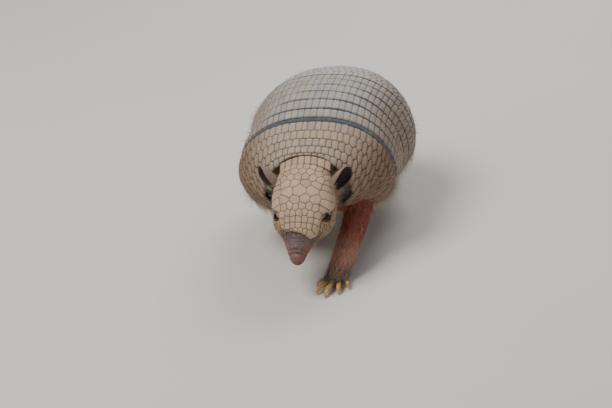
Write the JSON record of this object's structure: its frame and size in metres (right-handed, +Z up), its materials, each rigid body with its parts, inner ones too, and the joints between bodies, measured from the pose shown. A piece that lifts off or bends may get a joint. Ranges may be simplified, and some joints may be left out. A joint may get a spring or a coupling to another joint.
{
  "type": "armadillo model",
  "caption": "Life-size still model of a six-banded armadillo, walking with its head low and one forefoot reaching forward.",
  "frame": {"origin": "on the floor, under the middle of the model's box from nose and claws to tail tip", "axes": "+Z up, the animal faces -Y along its length, and +X is its left"},
  "size_m": [0.1988, 0.4896, 0.1783],
  "materials": {
    "shell": "dry horny scutes over bone, satin, grey-tan with dark joints",
    "head_shield": "dry horny scutes over bone, satin, warm tan with dark joints",
    "skin": "wrinkled leathery skin with sparse pale bristles",
    "leg": "red-brown scaly skin with sparse bristles",
    "snout": "fine wrinkled bare skin, slightly moist at the nose",
    "ear": "thin pebbled skin",
    "tail": "rings of horny scales",
    "eye": "wet and glossy, near black",
    "claw": "amber horn, satin, worn at the tip"
  },
  "bodies": {
    "root": {"shoulder_shield": "shell", "band_1": "shell", "band_2": "shell", "band_3": "shell", "band_4": "shell", "band_5": "shell", "band_6": "shell", "pelvic_shield": "shell", "trunk": "skin", "shoulder_fold": "skin", "neck": "skin", "head": "skin", "snout": "snout", "head_shield": "head_shield", "nuchal_band": "head_shield", "eye_left": "eye", "eye_right": "eye", "ear_left": "ear", "ear_right": "ear", "tail_base": "tail", "tail_tip": "tail", "foreleg_left": "leg", "foreleg_left_foot": "leg", "foreleg_left_claw_1": "claw", "foreleg_left_claw_2": "claw", "foreleg_left_claw_3": "claw", "foreleg_left_claw_4": "claw", "foreleg_left_claw_5": "claw", "foreleg_right": "leg", "foreleg_right_foot": "leg", "foreleg_right_claw_1": "claw", "foreleg_right_claw_2": "claw", "foreleg_right_claw_3": "claw", "foreleg_right_claw_4": "claw", "foreleg_right_claw_5": "claw", "hindleg_left": "leg", "hindleg_left_foot": "leg", "hindleg_left_claw_1": "claw", "hindleg_left_claw_2": "claw", "hindleg_left_claw_3": "claw", "hindleg_left_claw_4": "claw", "hindleg_left_claw_5": "claw", "hindleg_right": "leg", "hindleg_right_foot": "leg", "hindleg_right_claw_1": "claw", "hindleg_right_claw_2": "claw", "hindleg_right_claw_3": "claw", "hindleg_right_claw_4": "claw", "hindleg_right_claw_5": "claw"}
  },
  "joints": []
}
